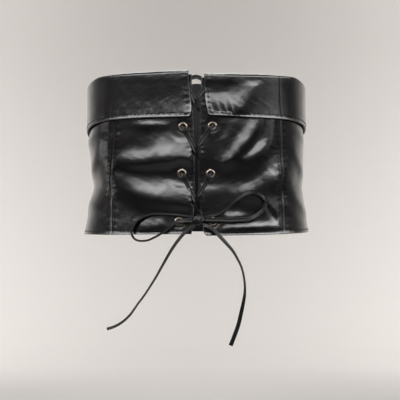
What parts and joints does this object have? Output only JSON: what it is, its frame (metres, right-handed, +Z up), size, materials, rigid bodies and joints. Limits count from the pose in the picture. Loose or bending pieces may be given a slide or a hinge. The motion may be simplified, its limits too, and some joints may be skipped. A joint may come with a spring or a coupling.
{
  "type": "wide laced waist belt",
  "caption": "Wide corset-style waist belt of leather-look panels with a fold-over cuff, front lacing tied in a bow, and an elastic back.",
  "frame": {"origin": "on the waist's centre axis, at the height of the narrowest part of the belt", "axes": "+Z up along the waist's axis, front with the lacing towards -Y, +X to the right as seen from the front"},
  "size_m": [0.2844, 0.2034, 0.3346],
  "materials": {
    "leather": "black coated leather-look fabric, fine grain, semi-gloss, soft creases",
    "elastic": "black woven elastic, vertical ribs, matt",
    "lace": "black folded flat strip, satin, centre groove",
    "eyelet_brass": "antique brass, rolled edge, worn bright on top"
  },
  "bodies": {
    "root": {"front_panel_left": "leather", "front_panel_right": "leather", "side_panel_left": "leather", "side_panel_right": "leather", "cuff_front_left": "leather", "cuff_front_right": "leather", "cuff_side_left": "leather", "cuff_side_right": "leather", "back_elastic": "elastic", "eyelet_left_1": "eyelet_brass", "eyelet_right_1": "eyelet_brass", "eyelet_left_2": "eyelet_brass", "eyelet_right_2": "eyelet_brass", "eyelet_left_3": "eyelet_brass", "eyelet_right_3": "eyelet_brass", "eyelet_left_4": "eyelet_brass", "eyelet_right_4": "eyelet_brass", "lace": "lace", "bow_knot": "lace", "bow_loop_left": "lace", "bow_loop_right": "lace", "lace_tail_left": "lace", "lace_tail_right": "lace"}
  },
  "joints": []
}
